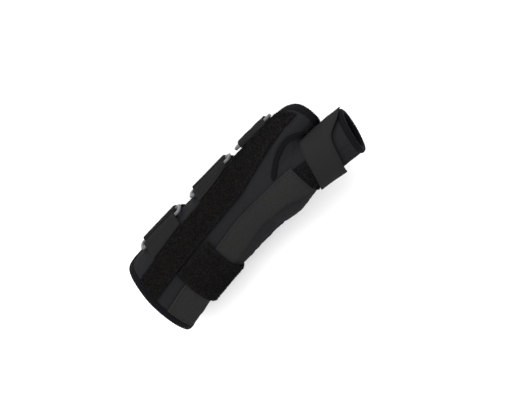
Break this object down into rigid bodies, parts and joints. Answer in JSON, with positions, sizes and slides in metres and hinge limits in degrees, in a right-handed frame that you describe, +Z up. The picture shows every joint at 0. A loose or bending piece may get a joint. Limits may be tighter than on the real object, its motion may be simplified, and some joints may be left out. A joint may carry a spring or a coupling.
{
  "type": "thumb spica splint",
  "caption": "Black wrap-around wrist and thumb splint for the left hand, with ring closure straps, stay webbing and a thumb strap.",
  "frame": {"origin": "bottom centre of the bounding box, on the surface that the splint's little-finger side rests on", "axes": "+X from the forearm to the fingers, +Y towards the back of the hand, +Z up towards the thumb side"},
  "size_m": [0.232, 0.0834, 0.0902],
  "materials": {
    "laminate": "matt foam-backed knit, smooth",
    "binding": "fine ribbed stretch tape",
    "pile": "fuzzy loop pile",
    "webbing": "woven webbing",
    "elastic": "smooth stretch fabric",
    "ring_plastic": "moulded"
  },
  "bodies": {
    "root": {"body_shell": "laminate", "thumb_sleeve": "laminate", "edge_binding": "binding", "thumb_rim_binding": "binding", "thumb_piping_back": "binding", "thumb_piping_palm": "binding", "loop_band": "pile", "stay_webbing": "webbing", "thumb_loop_patch": "pile", "thumb_strap": "elastic", "closure_strap_1": "pile", "ring_tab_1": "webbing", "ring_1": "ring_plastic", "closure_strap_2": "pile", "ring_tab_2": "webbing", "ring_2": "ring_plastic", "closure_strap_3": "pile", "ring_tab_3": "webbing", "ring_3": "ring_plastic"}
  },
  "joints": []
}
